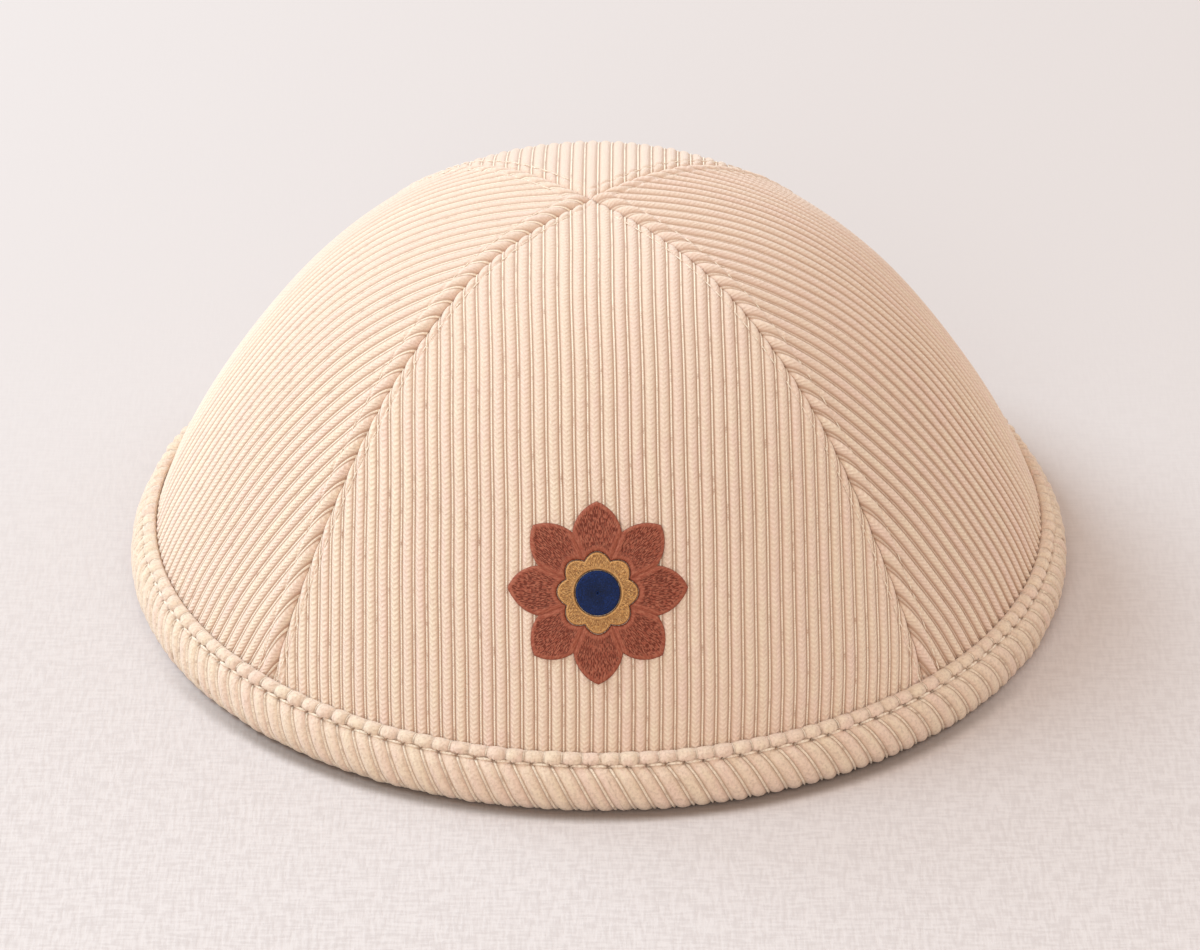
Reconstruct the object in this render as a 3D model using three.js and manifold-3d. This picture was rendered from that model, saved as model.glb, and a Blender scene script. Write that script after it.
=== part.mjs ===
// Four-panel corduroy kippah with a rolled bias binding and an embroidered rosette.
// Millimetres, +Z up. The origin is the middle of the rim on the surface that the cap rests on.
// The front panel looks along -Y, and +X is the wearer's left.

import * as THREE from 'three';
import { mergeVertices } from 'three/addons/utils/BufferGeometryUtils.js';
import Module from 'manifold-3d';

// Crown, measured to the tops of the wales
const crownRadius = 82.4; // at the lower edge of the panels
const crownHeight = 72.8; // top of the crown above the resting surface
const seatHeight = 7.3; // lower edge of the panels above the resting surface
const crownFullness = 0.75; // power of the profile's radius, fuller below 1
const crownSpring = 2.0; // power of the profile's height, flatter top above 2

// Corduroy
const clothThickness = 1.3; // between the grooves and the inside
const waleHeight = 0.5; // wales above the grooves
const walePitch = 2.4; // from wale to wale
const panelNames = ['panel_front', 'panel_right', 'panel_back', 'panel_left'];
const seamGap = 0.32; // between two panels
const seamDip = 0.45; // how far the cloth rolls down into a seam
const seamRound = 2.2; // width of that roll
const rimPinch = 0.9; // how far the binding draws the cloth in
const pinchReach = 8; // height over which the draw fades out

// Binding
const fitGap = 0.35; // between the binding and what it holds
const tuckDepth = 2.9; // cloth hidden in the binding, up the slope from its lower edge
const tuckClear = 1.2; // from there to the first full height of the wales
const lipThickness = 1.15;
const lipRise = 0.75; // fullest point of the lip, as a share of the tuck's depth
const stitchHeight = 8.1; // stitch groove above the resting surface
const rollBulge = 2.7; // roll outside the stitch groove
const bellyHeight = 3.8; // widest point of the roll above the resting surface
const footInset = 0.8; // widest point of the roll to the outside of the resting ring
const footWidth = 2.6; // resting ring, measured across
const flapThickness = 1.2; // inner turning of the binding
const ribPitch = 3.38; // along the rim, a bias-cut wale
const ribHeight = 0.55;
const leanTop = 31; // lean of the ribs at the stitch groove, degrees
const leanFoot = 20; // and at the resting ring

// Embroidery
const rosetteRise = 30; // centre of the rosette above the lower edge, along the cloth
const petalCount = 8;
const petalTip = 15.5; // tip of a petal from the centre
const petalRoot = 3; // root of a petal from the centre, under the ring
const petalWidth = 8.6;
const ringReach = 6.9; // scalloped ring, to the tops of its scallops
const scallopDepth = 1.2;
const discRadius = 3.8;
const threadGap = 0.3; // between two pieces of embroidery, and to the cloth
const threadHeight = 0.4; // edge of the embroidery above the wales
const petalPuff = 0.25; // rise of a petal's middle above its edge

// Fineness of the faceted surfaces
const profileSteps = 400;
const rowStep = 20; // rows of vertices up a wale
const liningStep = 7; // half wales between two columns of the smooth inside
const bandSections = 48; // sections of the smooth parts of the binding
const petalFacets = 6; // facets round each petal
const scallopFacets = 4;
const discFacets = 20;

const corduroyColour = 0xe4cbb0;
const bindingColour = 0xe2c6a9;
const petalColour = 0xa05541;
const ringColour = 0xbe8c50;
const discColour = 0x142355;

const wasm = await Module();
wasm.setup();

// Profile of the crown, as points at even steps with their distance up the slope
const profile = [];
for (let i = 0; i <= profileSteps; i += 1) {
  const turn = (Math.PI / 2) * (i / profileSteps);
  const point = new THREE.Vector2(
    crownRadius * Math.abs(Math.cos(turn)) ** crownFullness,
    seatHeight + (crownHeight - seatHeight) * Math.sin(turn) ** crownSpring,
  );
  const before = profile[i - 1];
  const up = before ? before.up + before.point.distanceTo(point) : 0;
  profile.push({ point, up });
}

// Point of the profile at a distance up the slope, with its outward normal
function crownAt(up) {
  let upper = 1;
  while (upper < profileSteps && profile[upper].up < up) upper += 1;
  const low = profile[upper - 1];
  const high = profile[upper];
  const share = (up - low.up) / (high.up - low.up);
  const along = high.point.clone().sub(low.point).normalize();
  const point = low.point.clone().lerp(high.point, share);
  const normal = new THREE.Vector2(Math.max(along.y, 1e-4), -along.x);
  return { point, normal };
}

// Angle round the crown of a wale that runs a set distance beside the panel's centreline
function waleAngle(beside, up) {
  const { point, normal } = crownAt(up);
  const bend = point.x / normal.x;
  const sine = (bend * Math.sin(beside / bend)) / point.x;
  return Math.abs(sine) < 1 ? Math.asin(sine) : (Math.sign(sine) * Math.PI) / 2;
}

// Half of a panel's angle, less the seam's gap
function seamAngle(up) {
  const radius = Math.max(crownAt(up).point.x, seamGap);
  return Math.PI / panelNames.length - Math.asin(seamGap / 2 / radius);
}

// Distance up the slope at which a wale meets the seam
function waleTop(beside) {
  let low = 0;
  let high = profile[profileSteps].up;
  for (let i = 0; i < 40; i += 1) {
    const middle = (low + high) / 2;
    if (Math.abs(waleAngle(beside, middle)) < seamAngle(middle)) low = middle;
    else high = middle;
  }
  return low;
}

// Distance beside the centreline at which the lower edge of a panel meets the seam
function seamFoot() {
  const { point, normal } = crownAt(0);
  const bend = point.x / normal.x;
  return bend * Math.asin((point.x * Math.sin(seamAngle(0))) / bend);
}

// Point of the front panel at an angle round the crown, raised along its normal
function crownPoint(angle, up, lift) {
  const { point, normal } = crownAt(up);
  const radius = point.x + normal.x * lift;
  const height = point.y + normal.y * lift;
  return new THREE.Vector3(radius * Math.sin(angle), -radius * Math.cos(angle), height);
}

// How far the binding's stitches draw the cloth in at a distance up the slope
function pinchAt(up) {
  return rimPinch * Math.exp(-((Math.max(up, 0) / pinchReach) ** 2));
}

// A mesh in the making: vertices, triangles and the bands between rows of vertices
class Shell {
  constructor() {
    this.points = [];
    this.faces = [];
  }

  add(point) {
    this.points.push(point);
    return this.points.length - 1;
  }

  face(a, b, c) {
    if (a !== b && b !== c && c !== a) this.faces.push([a, b, c]);
  }

  // Band between two rows that run the same way, seen with the first row on the left
  band(left, right, leftPlaces = this.lengths(left), rightPlaces = this.lengths(right)) {
    let i = 0;
    let j = 0;
    while (i < left.length - 1 || j < right.length - 1) {
      const nextLeft = i < left.length - 1 ? leftPlaces[i] + leftPlaces[i + 1] : Infinity;
      const nextRight = j < right.length - 1 ? rightPlaces[j] + rightPlaces[j + 1] : Infinity;
      if (nextLeft < nextRight) {
        this.face(left[i], right[j], left[i + 1]);
        i += 1;
      } else {
        this.face(left[i], right[j], right[j + 1]);
        j += 1;
      }
    }
  }

  // Share of its whole length at which each vertex of a row lies
  lengths(row) {
    const places = [0];
    for (let i = 1; i < row.length; i += 1) {
      places.push(places[i - 1] + this.points[row[i]].distanceTo(this.points[row[i - 1]]));
    }
    const whole = places[places.length - 1] || 1;
    return places.map((place) => place / whole);
  }

  geometry() {
    const geometry = new THREE.BufferGeometry();
    const numbers = this.points.flatMap((point) => point.toArray());
    geometry.setAttribute('position', new THREE.Float32BufferAttribute(numbers, 3));
    geometry.setIndex(this.faces.flat());
    return geometry;
  }
}

// Solid for a cut, from a closed geometry
function solidOf(geometry) {
  const bare = geometry.clone();
  bare.deleteAttribute('normal');
  bare.deleteAttribute('uv');
  const merged = mergeVertices(bare, 1e-5);
  const vertProperties = new Float32Array(merged.attributes.position.array);
  const triVerts = new Uint32Array(merged.index.array);
  return new wasm.Manifold(new wasm.Mesh({ numProp: 3, vertProperties, triVerts }));
}

function geometryOf(solid) {
  const mesh = solid.getMesh();
  const geometry = new THREE.BufferGeometry();
  geometry.setAttribute('position', new THREE.BufferAttribute(mesh.vertProperties, 3));
  geometry.setIndex(new THREE.BufferAttribute(mesh.triVerts, 1));
  return geometry;
}

// Rows of a wale: the lower edge, the edge of the binding, even steps, and the roll into the seam
function waleRows(top) {
  const firstRow = Math.min(tuckDepth + tuckClear, top / 3);
  const lastRow = top - Math.min(seamRound, top / 3);
  const rows = [0, firstRow];
  for (let up = rowStep; up < lastRow - seamRound / 4; up += rowStep) rows.push(up);
  rows.push(lastRow, top);
  return rows;
}

// One side of a panel, as columns of vertices from its left seam to its right seam
function panelSide(shell, besides, liftAt) {
  const columns = besides.map((beside) => {
    const top = waleTop(beside);
    const rows = waleRows(top);
    return rows.map((up) => shell.add(crownPoint(waleAngle(beside, up), up, liftAt(beside, up, top))));
  });
  // The corner beyond the last whole wale follows the seam
  const edges = [-1, 1].map((side) => {
    const beside = besides[besides.length - 1];
    const top = waleTop(beside);
    const column = side < 0 ? columns[0] : columns[columns.length - 1];
    const low = shell.add(crownPoint(side * seamAngle(0), 0, liftAt(seamFoot(), 0, 0)));
    const half = top / 2;
    const middle = shell.add(crownPoint(side * seamAngle(half), half, liftAt(beside, half, half)));
    return [low, middle, column[column.length - 1]];
  });
  columns.unshift(edges[0]);
  columns.push(edges[1]);
  const centre = (columns.length - 1) / 2;
  const tops = columns.slice(1, -1).map((column) => column[column.length - 1]);
  return {
    columns,
    leftSeam: [...edges[0].slice(0, 2), ...tops.slice(0, centre)],
    rightSeam: [...edges[1].slice(0, 2), ...tops.slice(centre - 1).reverse()],
    lowerEdge: columns.map((column) => column[0]),
  };
}

// Height of the corduroy's surface: sharp at the wales, flat in the binding, rolled at the seams
function waleLift(isWale, up, top) {
  const roll = Math.max(0, 1 - (top - up) / seamRound) * seamDip;
  const wale = isWale && up > 0 ? 0 : -waleHeight;
  return wale - roll - pinchAt(up);
}

function panelGeometry() {
  const half = Math.floor((seamFoot() - walePitch / 4) / (walePitch / 2));
  const outerBesides = [];
  const innerBesides = [];
  const innerHalf = Math.floor(half / liningStep);
  for (let i = -half; i <= half; i += 1) outerBesides.push((i * walePitch) / 2);
  for (let i = -innerHalf; i <= innerHalf; i += 1) innerBesides.push((i * liningStep * walePitch) / 2);

  const shell = new Shell();
  const isWale = (beside) => Math.abs(Math.round(beside / (walePitch / 2))) % 2 === 0;
  const outerLift = (beside, up, top) => waleLift(isWale(beside), up, top);
  const innerLift = (beside, up) => -waleHeight - clothThickness - pinchAt(up);
  const outer = panelSide(shell, outerBesides, outerLift);
  const inner = panelSide(shell, innerBesides, innerLift);
  for (let i = 1; i < outer.columns.length; i += 1) shell.band(outer.columns[i - 1], outer.columns[i]);
  for (let i = 1; i < inner.columns.length; i += 1) shell.band(inner.columns[i], inner.columns[i - 1]);
  shell.band(inner.leftSeam, outer.leftSeam);
  shell.band(outer.rightSeam, inner.rightSeam);
  shell.band(outer.lowerEdge, inner.lowerEdge);
  return shell.geometry();
}

// Outlines of the rosette, as the distance from its centre at an angle
function petalOutline(angle) {
  const step = (2 * Math.PI) / petalCount;
  const off = Math.abs(angle - step * Math.round(angle / step));
  // A petal is two arcs that meet at its root and its tip
  const length = petalTip - petalRoot;
  const arcRadius = (length ** 2 / petalWidth + petalWidth) / 4;
  const middle = (petalTip + petalRoot) / 2;
  const sink = arcRadius - petalWidth / 2;
  const along = middle * Math.cos(off) - sink * Math.sin(off);
  const across = middle ** 2 + sink ** 2 - arcRadius ** 2;
  return along + Math.sqrt(Math.max(along ** 2 - across, 0));
}

function ringOutline(angle) {
  return ringReach - scallopDepth * (1 - Math.abs(Math.cos((angle * petalCount) / 2)));
}

function discOutline() {
  return discRadius;
}

// A patch on the front panel between two outlines, or inside one, with a top and an underside
function patchGeometry({ facets, inside, outside, puff, under, over }) {
  const shell = new Shell();
  const layer = (shares, liftAt) => shares.map((share) => {
    const row = [];
    for (let i = 0; i < facets; i += 1) {
      const angle = (2 * Math.PI * i) / facets;
      const low = inside ? inside(angle) : 0;
      const reach = low + (outside(angle) - low) * share;
      const beside = reach * Math.cos(angle);
      const up = rosetteRise + reach * Math.sin(angle);
      row.push(shell.add(crownPoint(waleAngle(beside, up), up, liftAt(share))));
    }
    return [...row, row[0]];
  });
  const top = layer(inside ? [0, 0.5, 1] : [0.5, 1], (share) => over + puff * 4 * share * (1 - share));
  const bottom = layer(inside ? [0, 1] : [1], () => under);
  for (let i = 1; i < top.length; i += 1) shell.band(top[i - 1], top[i]);
  if (inside) {
    shell.band(bottom[1], bottom[0]);
    shell.band(bottom[0], top[0]);
  } else {
    const up = rosetteRise;
    const crownCentre = shell.add(crownPoint(0, up, over + puff));
    const floorCentre = shell.add(crownPoint(0, up, under));
    for (let i = 0; i < facets; i += 1) {
      shell.face(crownCentre, top[0][i], top[0][i + 1]);
      shell.face(floorCentre, bottom[0][i + 1], bottom[0][i]);
    }
  }
  shell.band(top[top.length - 1], bottom[bottom.length - 1]);
  return shell.geometry();
}

const threadUnder = -waleHeight + threadGap;

// Bed of flattened wales under the rosette
function bedGeometry() {
  return patchGeometry({
    facets: petalCount * petalFacets,
    inside: null,
    outside: (angle) => petalOutline(angle) + threadGap,
    puff: 0,
    under: -waleHeight,
    over: threadHeight + petalPuff,
  });
}

// Outer points of the binding's section, from the resting ring up to the lip.
// out is a share of the roll's bulge, rib a share of the ribs' height.
function bindingSection() {
  const groove = panelSlope(0, fitGap + lipThickness);
  const lip = panelSlope(tuckDepth * lipRise, waleHeight + fitGap + lipThickness);
  const shoulderHeight = (bellyHeight + stitchHeight) / 2;
  const rows = [
    { name: 'foot', out: 1, height: 0, inset: footInset, rib: 0.6 },
    { name: 'belly', out: 1, height: bellyHeight, inset: 0, rib: 1 },
    { name: 'shoulder', out: 0.7, height: shoulderHeight, inset: 0, rib: 1 },
    { name: 'groove', out: 0, height: stitchHeight, inset: 0, rib: 0.3 },
  ];
  const section = rows.map(({ name, out, height, inset, rib }) => (
    { name, at: new THREE.Vector2(groove.x + rollBulge * out - inset, height), rib }
  ));
  return [...section, { name: 'lip', at: lip, rib: 0.6 }];
}

// Point off the flattened cloth in the binding: up its slope and out from its outer face
function panelSlope(up, out) {
  const { point, normal } = crownAt(Math.max(up, 0));
  const down = new THREE.Vector2(normal.y, -normal.x).multiplyScalar(Math.max(-up, 0));
  return point.clone().addScaledVector(normal, out - waleHeight - pinchAt(up)).add(down);
}

function rimPoint(angle, radius, height) {
  return new THREE.Vector3(radius * Math.sin(angle), -radius * Math.cos(angle), height);
}

function bindingGeometry() {
  const shell = new Shell();
  const section = bindingSection();
  const belly = section.find((row) => row.name === 'belly').at;
  const ribCount = Math.round((2 * Math.PI * belly.x) / ribPitch);

  // The ribs lean from the stitch groove down, less and less, and stand straight above it
  const travelled = [0];
  for (let i = 1; i < section.length; i += 1) {
    travelled.push(travelled[i - 1] + section[i].at.distanceTo(section[i - 1].at));
  }
  const rollLength = travelled[section.findIndex((row) => row.name === 'groove')];
  const leanAt = (degrees) => Math.tan(THREE.MathUtils.degToRad(degrees));
  const outer = section.map((row, index) => {
    const down = Math.max(1 - travelled[index] / rollLength, 0);
    const sideways = leanAt(leanTop) * down - ((leanAt(leanTop) - leanAt(leanFoot)) * down ** 2) / 2;
    const turn = (sideways * rollLength) / belly.x;
    const ring = [];
    for (let i = 0; i < 2 * ribCount; i += 1) {
      const angle = turn + (Math.PI * i) / ribCount;
      const radius = row.at.x - (i % 2) * ribHeight * row.rib;
      ring.push(shell.add(rimPoint(angle, radius, row.at.y)));
    }
    return { ring: [...ring, ring[0]], turn };
  });
  for (let i = 1; i < outer.length; i += 1) shell.band(outer[i].ring, outer[i - 1].ring);

  // Smooth side: resting ring, inner turning, channel for the cloth, inside of the lip
  const cloth = clothThickness + fitGap;
  const footInner = section[0].at.x - ribHeight * section[0].rib - footWidth;
  const channelFoot = panelSlope(-fitGap, -cloth);
  const flapTop = panelSlope(tuckDepth, -cloth);
  const path = [
    new THREE.Vector2(footInner, 0),
    new THREE.Vector2(channelFoot.x - flapThickness, bellyHeight / 2),
    flapTop,
    channelFoot,
    panelSlope(-fitGap, fitGap),
    panelSlope(tuckDepth, waleHeight + fitGap),
  ];
  const smooth = path.map((at) => {
    const ring = [];
    for (let i = 0; i < bandSections; i += 1) {
      const angle = (2 * Math.PI * i) / bandSections;
      ring.push(shell.add(rimPoint(angle, at.x, at.y)));
    }
    return [...ring, ring[0]];
  });
  for (let i = 1; i < smooth.length; i += 1) shell.band(smooth[i - 1], smooth[i]);

  const fineAngles = (turn) => outer[0].ring.map((vertex, i) => turn + (Math.PI * i) / ribCount);
  const evenAngles = smooth[0].map((vertex, i) => (2 * Math.PI * i) / bandSections);
  const last = outer.length - 1;
  shell.band(outer[0].ring, smooth[0], fineAngles(outer[0].turn), evenAngles);
  shell.band(smooth[smooth.length - 1], outer[last].ring, evenAngles, fineAngles(outer[last].turn));
  return shell.geometry();
}

function makeMaterial(colour, roughness) {
  return new THREE.MeshStandardMaterial({ color: colour, roughness, metalness: 0 });
}

const kippah = new THREE.Group();

function addPiece(name, geometry, material) {
  geometry.computeVertexNormals();
  const mesh = new THREE.Mesh(geometry, material);
  mesh.name = name;
  kippah.add(mesh);
  return mesh;
}

// Panels, each a quarter turn on from the last
panelNames.forEach((name, i) => {
  const whole = panelGeometry();
  const geometry = i === 0 ? geometryOf(solidOf(whole).subtract(solidOf(bedGeometry()))) : whole;
  const panel = addPiece(name, geometry, makeMaterial(corduroyColour, 0.9));
  panel.rotation.z = (2 * Math.PI * i) / panelNames.length;
});

addPiece('edge_binding', bindingGeometry(), makeMaterial(bindingColour, 0.9));

addPiece('embroidery_petals', patchGeometry({
  facets: petalCount * petalFacets,
  inside: (angle) => ringOutline(angle) + threadGap,
  outside: petalOutline,
  puff: petalPuff,
  under: threadUnder,
  over: threadHeight,
}), makeMaterial(petalColour, 0.7));

addPiece('embroidery_ring', patchGeometry({
  facets: petalCount * scallopFacets,
  inside: () => discRadius + threadGap,
  outside: ringOutline,
  puff: petalPuff,
  under: threadUnder,
  over: threadHeight,
}), makeMaterial(ringColour, 0.7));

addPiece('embroidery_centre', patchGeometry({
  facets: discFacets,
  inside: null,
  outside: discOutline,
  puff: petalPuff,
  under: threadUnder,
  over: threadHeight,
}), makeMaterial(discColour, 0.7));

export default kippah;
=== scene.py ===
import math

import bpy
import numpy as np
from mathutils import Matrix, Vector


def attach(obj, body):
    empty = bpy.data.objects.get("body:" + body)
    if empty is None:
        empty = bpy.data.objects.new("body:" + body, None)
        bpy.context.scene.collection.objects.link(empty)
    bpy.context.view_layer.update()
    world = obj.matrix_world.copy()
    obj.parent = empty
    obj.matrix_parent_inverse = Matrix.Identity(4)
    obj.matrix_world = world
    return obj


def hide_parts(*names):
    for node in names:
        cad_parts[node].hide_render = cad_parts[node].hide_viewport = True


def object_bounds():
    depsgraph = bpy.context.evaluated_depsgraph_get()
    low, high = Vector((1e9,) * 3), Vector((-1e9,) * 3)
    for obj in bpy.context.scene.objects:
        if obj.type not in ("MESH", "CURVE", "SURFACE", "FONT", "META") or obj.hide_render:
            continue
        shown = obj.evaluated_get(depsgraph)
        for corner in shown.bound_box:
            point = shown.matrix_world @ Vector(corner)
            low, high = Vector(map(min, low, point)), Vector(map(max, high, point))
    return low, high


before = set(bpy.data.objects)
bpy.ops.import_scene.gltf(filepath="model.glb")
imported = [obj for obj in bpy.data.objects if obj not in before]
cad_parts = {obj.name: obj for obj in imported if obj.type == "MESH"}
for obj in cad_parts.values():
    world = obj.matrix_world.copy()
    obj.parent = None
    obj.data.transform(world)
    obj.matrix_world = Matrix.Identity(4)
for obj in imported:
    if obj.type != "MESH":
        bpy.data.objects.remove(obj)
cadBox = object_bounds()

mm = 0.001

# the crown that every panel lies on, measured to the tops of the wales
crown = {
    "radius": 82.4 * mm,      # at the lower edge of the panels
    "height": cadBox[1][2],
    "seat": 7.3 * mm,         # lower edge of the panels above the table
    "fullness": 0.75,
    "samples": 6000,
    "pinch": 0.9 * mm,        # how far the binding draws the cloth in
    "pinchReach": 8 * mm,
    "seamGap": 0.12 * mm,
    "lean": (-1.3 * mm, 2.0 * mm),    # the top sits a little left and back
    "leanGrowth": 3,
}

# corduroy: wide wales with one thin cord in each groove between them
corduroy = {
    "pitch": 2.4 * mm,
    "height": 0.54 * mm,
    "ground": -0.5 * mm,      # floor of the grooves below the crown
    "cloth": 1.3 * mm,
    "waleHalf": 0.41,         # half width of a wale, as a share of the pitch
    "waleRound": 2.3,
    "cordHalf": 0.085,
    "cordRound": 1.5,
    "steps": (0.11, 0.21, 0.30, 0.37, 0.42, 0.46, 0.5),
}


# profile of the crown at even turns, from the lower edge up to the top
turns = np.linspace(0, math.pi / 2, crown["samples"])
cosines = np.maximum(np.cos(turns), 1e-9)
rise = crown["height"] - crown["seat"]
profileR = crown["radius"] * cosines ** crown["fullness"]
profileZ = crown["seat"] + rise * np.sin(turns) ** 2
outR = 2 * rise * cosines
outZ = crown["fullness"] * crown["radius"] * cosines ** (crown["fullness"] - 1)
outLength = np.hypot(outR, outZ)
outR, outZ = outR / outLength, outZ / outLength
profileUp = np.concatenate([[0], np.cumsum(np.hypot(np.diff(profileR), np.diff(profileZ)))])


# radius, height and outward direction at a distance up the cloth
def crownAt(up):
    below = np.minimum(up, 0)
    radius = np.interp(up, profileUp, profileR) - below * outZ[0]
    height = np.interp(up, profileUp, profileZ) + below * outR[0]
    return radius, height, np.interp(up, profileUp, outR), np.interp(up, profileUp, outZ)


def crownPoint(angle, up, lift):
    radius, height, acrossR, acrossZ = crownAt(up)
    radius = radius + acrossR * lift
    share = (height / crown["height"]) ** crown["leanGrowth"]
    across = radius * np.sin(angle) + crown["lean"][0] * share
    deep = -radius * np.cos(angle) + crown["lean"][1] * share
    return np.stack([across, deep, height + acrossZ * lift], -1)


# angle round the crown of a wale that runs a set distance beside its panel's centreline
def waleAngle(beside, up):
    radius, _, acrossR, _ = crownAt(up)
    bend = radius / np.maximum(acrossR, 1e-6)
    return np.arcsin(np.clip(bend * np.sin(beside / bend) / np.maximum(radius, 1e-9), -1, 1))


def seamAngle(up):
    radius = np.maximum(crownAt(up)[0], crown["seamGap"])
    return math.pi / 4 - np.arcsin(crown["seamGap"] / 2 / radius)


# how far up the cloth each wale meets its seam
def waleTop(beside):
    low = np.zeros_like(beside)
    high = np.full_like(beside, profileUp[-1])
    for _ in range(48):
        middle = (low + high) / 2
        inside = np.abs(waleAngle(beside, middle)) < seamAngle(middle)
        low = np.where(inside, middle, low)
        high = np.where(inside, high, middle)
    return low


def seamFoot():
    radius, _, acrossR, _ = crownAt(0.0)
    bend = radius / acrossR
    return float(bend * np.arcsin(radius * np.sin(seamAngle(0.0)) / bend))


def roundBump(distance, half, power):
    return np.maximum(1 - (np.abs(distance) / half) ** power, 0) ** (1 / power)


def softStep(value, low, high):
    share = np.clip((value - low) / (high - low), 0, 1)
    return share * share * (3 - 2 * share)


def bell(value, centre, width):
    return np.exp(-((value - centre) / width) ** 2)


# height of the corduroy, from 0 in a groove to 1 on a wale
def waleRelief(phase, cordHeight):
    away = np.abs(phase - np.round(phase))
    wale = np.maximum(1 - (away / corduroy["waleHalf"]) ** corduroy["waleRound"], 0)
    cord = roundBump(0.5 - away, corduroy["cordHalf"], corduroy["cordRound"]) * cordHeight
    return np.maximum(wale, cord)


# slow waves that keep a sewn surface from being perfect
waves = {"count": 6, "shortest": 0.6, "spread": 0.15}


def ripple(x, y, seed, size):
    random = np.random.RandomState(seed)
    total = np.zeros(np.broadcast(x, y).shape)
    for _ in range(waves["count"]):
        angle, phase, wave = random.uniform(0, 2 * math.pi, 3)
        reach = size * (waves["shortest"] + waves["spread"] * wave)
        total += np.sin((x * math.cos(angle) + y * math.sin(angle)) / reach * 2 * math.pi + phase)
    return total / waves["count"]


# mesh helpers
weld = 0.004 * mm


def clearSelection():
    if bpy.context.object and bpy.context.object.mode != "OBJECT":
        bpy.ops.object.mode_set(mode="OBJECT")
    bpy.ops.object.select_all(action="DESELECT")


def pickPiece(piece):
    clearSelection()
    piece.select_set(True)
    bpy.context.view_layer.objects.active = piece


def readPoints(piece):
    flat = np.empty(len(piece.data.vertices) * 3, dtype=np.float32)
    piece.data.vertices.foreach_get("co", flat)
    return flat.reshape(-1, 3)


def writePoints(piece, points):
    piece.data.vertices.foreach_set("co", points.astype(np.float32).ravel())
    piece.data.update()


# one grid bent to rows of points, its places in the cloth kept as UVs, and its edges sewn together
def bendGrid(name, points, places, marks):
    rows, columns = points.shape[:2]
    clearSelection()
    bpy.ops.mesh.primitive_grid_add(x_subdivisions=columns - 1, y_subdivisions=rows - 1, size=1)
    piece = bpy.context.object
    piece.name = name
    piece.data.name = name
    flat = readPoints(piece)
    column = np.round((flat[:, 0] + 0.5) * (columns - 1)).astype(int)
    row = np.round((flat[:, 1] + 0.5) * (rows - 1)).astype(int)
    writePoints(piece, points[row, column])
    corners = np.empty(len(piece.data.loops), dtype=np.int64)
    piece.data.loops.foreach_get("vertex_index", corners)
    layer = piece.data.uv_layers.active
    layer.name = "cloth"
    layer.data.foreach_set("uv", places[row, column][corners].astype(np.float32).ravel())
    for label, values in marks.items():
        mark = piece.data.attributes.new(label, "FLOAT", "POINT")
        spread = np.broadcast_to(values, (rows, columns))[row, column]
        mark.data.foreach_set("value", spread.astype(np.float32))
    piece.data.update()
    bpy.ops.object.mode_set(mode="EDIT")
    bpy.ops.mesh.select_all(action="SELECT")
    bpy.ops.mesh.remove_doubles(threshold=weld)
    bpy.ops.mesh.select_all(action="SELECT")
    bpy.ops.mesh.fill_holes(sides=12)
    bpy.ops.object.mode_set(mode="OBJECT")
    return piece


def finishPiece(piece, node, material):
    pickPiece(piece)
    bpy.ops.object.shade_smooth()
    piece.data.materials.clear()
    piece.data.materials.append(material)
    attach(piece, "root")
    if node:
        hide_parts(node)
    clearSelection()


# shader helpers
def addNode(tree, kind, **values):
    node = tree.nodes.new(kind)
    for key, value in values.items():
        setattr(node, key, value)
    return node


def feed(tree, socket, value):
    if isinstance(value, bpy.types.NodeSocket):
        tree.links.new(value, socket)
    else:
        socket.default_value = value


def calc(tree, operation, first, second=0.0, third=0.0):
    node = addNode(tree, "ShaderNodeMath", operation=operation)
    for socket, value in zip(node.inputs, (first, second, third)):
        feed(tree, socket, value)
    return node.outputs[0]


def times(tree, first, second):
    return calc(tree, "MULTIPLY", first, second)


def invert(tree, value):
    return calc(tree, "SUBTRACT", 1.0, value)


# a wave from 0 to 1 that comes round so many times in each unit of the value
def beat(tree, value, count):
    wave = calc(tree, "SINE", times(tree, value, count * 2 * math.pi))
    return calc(tree, "MULTIPLY_ADD", wave, 0.5, 0.5)


def fade(tree, value, low, high):
    node = addNode(tree, "ShaderNodeMapRange", interpolation_type="SMOOTHSTEP")
    feed(tree, node.inputs["Value"], value)
    node.inputs["From Min"].default_value = low
    node.inputs["From Max"].default_value = high
    return node.outputs["Result"]


def blendColour(tree, share, first, second):
    node = addNode(tree, "ShaderNodeMix", data_type="RGBA")
    feed(tree, node.inputs[0], share)
    feed(tree, node.inputs[6], first)
    feed(tree, node.inputs[7], second)
    return node.outputs[2]


def noise(tree, place, scale, detail, roughness=0.5):
    node = addNode(tree, "ShaderNodeTexNoise")
    feed(tree, node.inputs["Vector"], place)
    node.inputs["Scale"].default_value = scale
    node.inputs["Detail"].default_value = detail
    node.inputs["Roughness"].default_value = roughness
    return node.outputs["Fac"]


def stretchPlace(tree, place, scale):
    node = addNode(tree, "ShaderNodeMapping")
    node.inputs["Scale"].default_value = scale
    feed(tree, node.inputs["Vector"], place)
    return node.outputs[0]


def splitPlace(tree, place):
    node = addNode(tree, "ShaderNodeSeparateXYZ")
    feed(tree, node.inputs[0], place)
    return node.outputs["X"], node.outputs["Y"]


def readMark(tree, label):
    return addNode(tree, "ShaderNodeAttribute", attribute_name=label).outputs["Fac"]


def startMaterial(name):
    material = bpy.data.materials.new(name)
    material.use_nodes = True
    tree = material.node_tree
    return material, tree, tree.nodes["Principled BSDF"]


def addBump(tree, shader, distance, height):
    bump = addNode(tree, "ShaderNodeBump")
    bump.inputs["Distance"].default_value = distance
    feed(tree, bump.inputs["Height"], height)
    feed(tree, shader.inputs["Normal"], bump.outputs["Normal"])


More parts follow.
